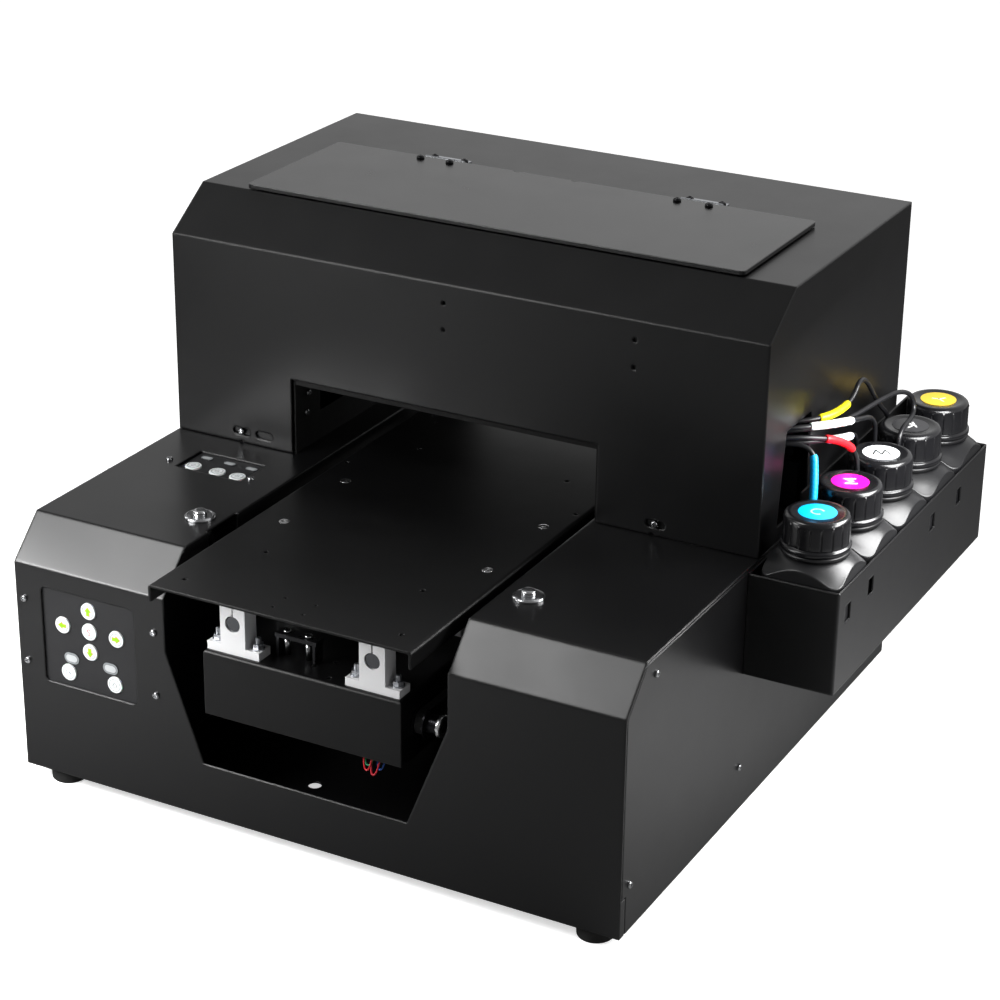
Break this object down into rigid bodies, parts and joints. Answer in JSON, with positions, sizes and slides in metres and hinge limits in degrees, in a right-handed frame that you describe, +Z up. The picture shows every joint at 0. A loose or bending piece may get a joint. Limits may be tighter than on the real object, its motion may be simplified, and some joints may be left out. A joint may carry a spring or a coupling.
{
  "type": "flatbed uv printer",
  "caption": "Desktop flatbed UV printer with a sliding, lifting table, a black sheet-steel base and hood with a hinged lid, keypads, and a side tray of ink bottles with tubes.",
  "frame": {"origin": "middle of the overall footprint on the surface the feet stand on", "axes": "+X to the printer's right, the ink tray's side; +Y to the rear; +Z up"},
  "size_m": [0.552, 0.522, 0.3942],
  "materials": {
    "coated_steel": "satin black powder coat",
    "table_coat": "satin black powder coat",
    "zinc_sheet": "zinc-plated sheet",
    "rubber": "matt",
    "black_screws": "black zinc",
    "steel": "ground",
    "bright_fittings": "zinc-plated",
    "button_metal": "polished stainless steel",
    "aluminium": "extruded, clear anodised",
    "motor": "black with steel ends",
    "belt": "moulded rubber",
    "pulley": "black anodised",
    "key": "glossy white",
    "plate": "satin",
    "mechanism_plastic": "moulded",
    "board": "solder resist",
    "supply": "zinc-plated case",
    "bottle": "satin blow-moulded",
    "cap": "glossy",
    "tube": "flexible hose, semi-gloss"
  },
  "bodies": {
    "chassis": {"base_pan": "coated_steel", "base_cover": "coated_steel", "side_panels": "coated_steel", "rubber_feet": "rubber", "hood_shell": "coated_steel", "print_frame": "zinc_sheet", "case_screws": "black_screws", "panel_plates": "plate", "button_bezels": "button_metal", "hood_hinge_leaves": "bright_fittings", "carriage_motor": "motor", "carriage_belt": "belt", "capping_station": "mechanism_plastic", "main_board": "board", "power_supply": "supply", "lift_motor": "motor", "guide_shafts": "steel", "ink_tray": "coated_steel", "ink_bottles": "bottle", "ink_tube_cyan": "tube", "ink_tube_magenta": "tube", "ink_tube_white_a": "tube", "ink_tube_white_b": "tube", "ink_tube_black": "tube", "ink_tube_yellow": "tube"},
    "lift": {"lift_beam": "table_coat", "shaft_supports": "aluminium", "table_rods": "steel", "beam_fittings": "bright_fittings", "sensor_bracket": "black_screws", "table_motor": "motor", "table_belt": "belt"},
    "table": {"print_table": "table_coat", "bearing_blocks": "aluminium"},
    "lead_screw": {"lead_screw": "steel"},
    "table_drive_pulley": {"table_drive_pulley": "pulley"},
    "table_idler_pulley": {"table_idler_pulley": "pulley"},
    "carriage_drive_pulley": {"carriage_drive_pulley": "pulley"},
    "carriage": {"print_carriage": "mechanism_plastic", "print_head": "bright_fittings", "uv_lamp": "aluminium"},
    "lid": {"lid": "coated_steel", "lid_hinge_leaves": "bright_fittings"},
    "left_push_button": {"left_push_button": "button_metal"},
    "right_push_button": {"right_push_button": "button_metal"},
    "up_key": {"up_key": "key"},
    "left_key": {"left_key": "key"},
    "stop_key": {"stop_key": "key"},
    "right_key": {"right_key": "key"},
    "down_key": {"down_key": "key"},
    "enter_key": {"enter_key": "key"},
    "ink_key": {"ink_key": "key"},
    "deck_power_key": {"deck_power_key": "key"},
    "deck_ink_key": {"deck_ink_key": "key"},
    "deck_feed_key": {"deck_feed_key": "key"},
    "cyan_cap": {"cyan_cap": "cap"},
    "magenta_cap": {"magenta_cap": "cap"},
    "white_cap": {"white_cap": "cap"},
    "black_cap": {"black_cap": "cap"},
    "yellow_cap": {"yellow_cap": "cap"}
  },
  "joints": [
    {"name": "table_lift", "type": "slide", "parent": "chassis", "child": "lift", "axis": [0, 0, 1], "range_m": [-0.035, 0.04]},
    {"name": "table_feed", "type": "slide", "parent": "lift", "child": "table", "axis": [0, 1, 0], "range_m": [-0.07, 0.23]},
    {"name": "lead_screw_turn", "type": "hinge", "parent": "chassis", "child": "lead_screw", "pos_m": [-0.032, 0.004, 0.06], "axis": [0, 0, 1], "range_deg": [-1810, 1580]},
    {"name": "table_drive_turn", "type": "hinge", "parent": "lift", "child": "table_drive_pulley", "pos_m": [0.054, -0.2135, 0.124], "axis": [1, 0, 0], "range_deg": [-1660, 510]},
    {"name": "table_idler_turn", "type": "hinge", "parent": "lift", "child": "table_idler_pulley", "pos_m": [0.054, 0.194, 0.124], "axis": [1, 0, 0], "range_deg": [-1660, 510]},
    {"name": "carriage_travel", "type": "slide", "parent": "chassis", "child": "carriage", "axis": [1, 0, 0], "range_m": [-0.34, 0]},
    {"name": "carriage_drive_turn", "type": "hinge", "parent": "chassis", "child": "carriage_drive_pulley", "pos_m": [0.184, 0.164, 0.325], "axis": [0, 1, 0], "range_deg": [0, 3000]},
    {"name": "lid_hinge", "type": "hinge", "parent": "chassis", "child": "lid", "pos_m": [-0.031, 0.1515, 0.3899], "axis": [-1, 0, 0], "range_deg": [0, 100]},
    {"name": "left_push_button_press", "type": "slide", "parent": "chassis", "child": "left_push_button", "axis": [0, 0, -1], "range_m": [0, 0.0025], "stiffness_N_per_m": 900},
    {"name": "right_push_button_press", "type": "slide", "parent": "chassis", "child": "right_push_button", "axis": [0, 0, -1], "range_m": [0, 0.0025], "stiffness_N_per_m": 900},
    {"name": "up_key_press", "type": "slide", "parent": "chassis", "child": "up_key", "axis": [0, 1, 0], "range_m": [0, 0.0008], "stiffness_N_per_m": 1500},
    {"name": "left_key_press", "type": "slide", "parent": "chassis", "child": "left_key", "axis": [0, 1, 0], "range_m": [0, 0.0008], "stiffness_N_per_m": 1500},
    {"name": "stop_key_press", "type": "slide", "parent": "chassis", "child": "stop_key", "axis": [0, 1, 0], "range_m": [0, 0.0008], "stiffness_N_per_m": 1500},
    {"name": "right_key_press", "type": "slide", "parent": "chassis", "child": "right_key", "axis": [0, 1, 0], "range_m": [0, 0.0008], "stiffness_N_per_m": 1500},
    {"name": "down_key_press", "type": "slide", "parent": "chassis", "child": "down_key", "axis": [0, 1, 0], "range_m": [0, 0.0008], "stiffness_N_per_m": 1500},
    {"name": "enter_key_press", "type": "slide", "parent": "chassis", "child": "enter_key", "axis": [0, 1, 0], "range_m": [0, 0.0008], "stiffness_N_per_m": 1500},
    {"name": "ink_key_press", "type": "slide", "parent": "chassis", "child": "ink_key", "axis": [0, 1, 0], "range_m": [0, 0.0008], "stiffness_N_per_m": 1500},
    {"name": "deck_power_key_press", "type": "slide", "parent": "chassis", "child": "deck_power_key", "axis": [0, 0, -1], "range_m": [0, 0.0008], "stiffness_N_per_m": 1500},
    {"name": "deck_ink_key_press", "type": "slide", "parent": "chassis", "child": "deck_ink_key", "axis": [0, 0, -1], "range_m": [0, 0.0008], "stiffness_N_per_m": 1500},
    {"name": "deck_feed_key_press", "type": "slide", "parent": "chassis", "child": "deck_feed_key", "axis": [0, 0, -1], "range_m": [0, 0.0008], "stiffness_N_per_m": 1500},
    {"name": "cyan_cap_unscrew", "type": "hinge", "parent": "chassis", "child": "cyan_cap", "pos_m": [0.2448, -0.0117, 0.23], "axis": [0, 0, 1], "range_deg": [0, 540]},
    {"name": "magenta_cap_unscrew", "type": "hinge", "parent": "chassis", "child": "magenta_cap", "pos_m": [0.2448, 0.0485, 0.23], "axis": [0, 0, 1], "range_deg": [0, 540]},
    {"name": "white_cap_unscrew", "type": "hinge", "parent": "chassis", "child": "white_cap", "pos_m": [0.2448, 0.1087, 0.23], "axis": [0, 0, 1], "range_deg": [0, 540]},
    {"name": "black_cap_unscrew", "type": "hinge", "parent": "chassis", "child": "black_cap", "pos_m": [0.2448, 0.1689, 0.23], "axis": [0, 0, 1], "range_deg": [0, 540]},
    {"name": "yellow_cap_unscrew", "type": "hinge", "parent": "chassis", "child": "yellow_cap", "pos_m": [0.2448, 0.2291, 0.23], "axis": [0, 0, 1], "range_deg": [0, 540]}
  ],
  "couplings": [
    {"joint": "lead_screw_turn", "follows": "table_lift", "rad_per_m": -785.4},
    {"joint": "table_drive_turn", "follows": "table_feed", "rad_per_m": -125},
    {"joint": "table_idler_turn", "follows": "table_feed", "rad_per_m": -125},
    {"joint": "carriage_drive_turn", "follows": "carriage_travel", "rad_per_m": -153.85}
  ]
}
